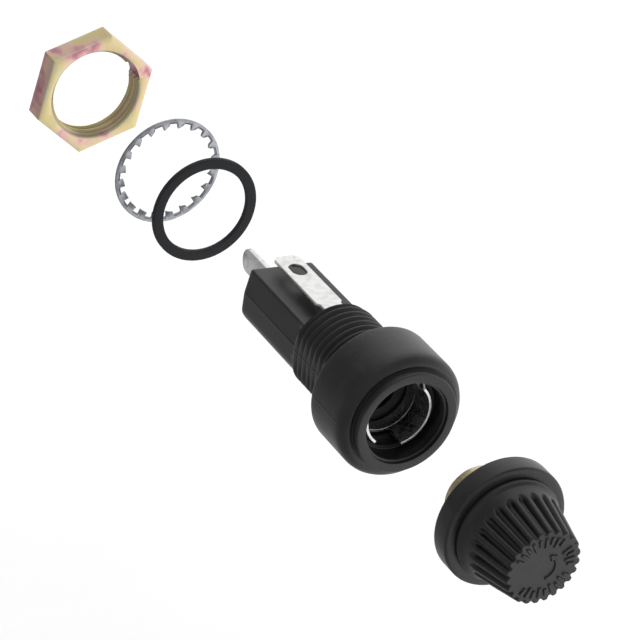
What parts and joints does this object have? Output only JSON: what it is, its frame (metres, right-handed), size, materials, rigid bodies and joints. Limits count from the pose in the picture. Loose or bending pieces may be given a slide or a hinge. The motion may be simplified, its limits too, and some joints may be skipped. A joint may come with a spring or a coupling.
{
  "type": "cartridge fuse holder",
  "caption": "Panel-mounting cartridge fuse holder: black threaded housing, bayonet cap with fluted grip and fuse clip, gasket, lock washer and hex nut, drawn apart on one axis.",
  "frame": {"origin": "centre of the rear face of the housing head, on the axis, where the head seats on the panel", "axes": "+Y along the axis from the cap towards the nut, -Y towards the user, +Z towards the side terminal, +X to the right seen from the front"},
  "size_m": [0.0222, 0.164, 0.0234],
  "materials": {
    "black_phenolic": "satin moulded black",
    "tinned_brass": "hot-tinned, bright, softly uneven",
    "spring_brass": "rolled sheet brass, slightly dulled",
    "spring_steel": "drawn wire",
    "black_rubber": "matt moulded rubber",
    "grey_steel": "plain stamped steel, barrel-tumbled",
    "yellow_zinc": "zinc plated, yellow iridescent passivate"
  },
  "bodies": {
    "housing_body": {"housing": "black_phenolic", "contact_sleeve": "tinned_brass", "side_terminal": "tinned_brass", "end_terminal": "tinned_brass", "spring_seat": "spring_brass", "contact_spring": "spring_steel"},
    "plunger_body": {"contact_plunger": "spring_brass"},
    "clip_body": {"fuse_clip": "spring_brass", "clip_eyelet": "spring_brass"},
    "cap_body": {"knob": "black_phenolic", "knob_ferrule": "spring_brass", "bayonet_lug_top": "spring_brass", "bayonet_lug_bottom": "spring_brass"},
    "gasket_body": {"gasket": "black_rubber"},
    "washer_body": {"lock_washer": "grey_steel"},
    "nut_body": {"hex_nut": "yellow_zinc"}
  },
  "joints": [
    {"name": "cap_slide", "type": "slide", "parent": "housing_body", "child": "clip_body", "axis": [0, 1, 0], "range_m": [0, 0.0264]},
    {"name": "cap_turn", "type": "hinge", "parent": "clip_body", "child": "cap_body", "pos_m": [0, -0.03, 0], "axis": [0, 1, 0], "range_deg": [0, 42]},
    {"name": "contact_press", "type": "slide", "parent": "housing_body", "child": "plunger_body", "axis": [0, 1, 0], "range_m": [0, 0.003], "stiffness_N_per_m": 900, "springref_m": -0.001, "deforming": ["contact_spring"]},
    {"name": "gasket_slide", "type": "slide", "parent": "housing_body", "child": "gasket_body", "axis": [0, -1, 0], "range_m": [0, 0.0599]},
    {"name": "washer_slide", "type": "slide", "parent": "gasket_body", "child": "washer_body", "axis": [0, -1, 0], "range_m": [0, 0.0138]},
    {"name": "nut_slide", "type": "slide", "parent": "washer_body", "child": "nut_body", "axis": [0, -1, 0], "range_m": [0, 0.0302]}
  ]
}
